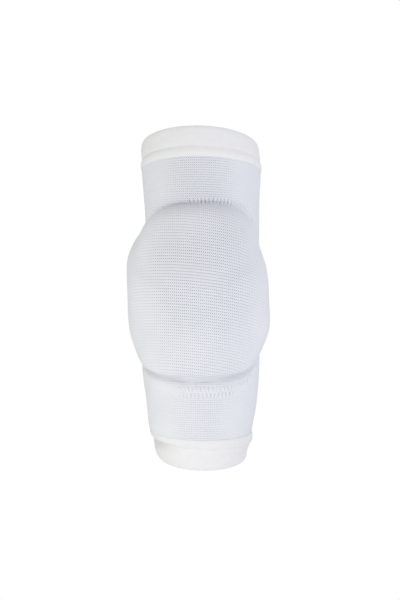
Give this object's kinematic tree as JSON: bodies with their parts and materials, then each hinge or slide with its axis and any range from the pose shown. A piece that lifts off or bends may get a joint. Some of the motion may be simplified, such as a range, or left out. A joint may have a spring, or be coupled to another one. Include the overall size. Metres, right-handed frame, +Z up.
{
  "type": "volleyball knee pad",
  "caption": "White knitted sleeve that is pulled over the knee, with elastic cuffs and a crowned foam pad held on its front under a second knitted layer.",
  "frame": {"origin": "on the axis of the leg, level with the middle of the knee", "axes": "+Z up the leg, -Y out of the front of the knee where the pad is, +X to the viewer's right from the front"},
  "size_m": [0.1062, 0.1144, 0.2547],
  "materials": {
    "elastic_welt": "plain fine elastic knit, matt",
    "white_knit": "coarser knit with rows of small holes, matt",
    "foam": "open cell polyurethane foam, matt"
  },
  "bodies": {
    "root": {"upper_cuff": "elastic_welt", "sleeve": "white_knit", "foam_pad": "foam", "pad_cover": "white_knit", "lower_cuff": "elastic_welt"}
  },
  "joints": []
}
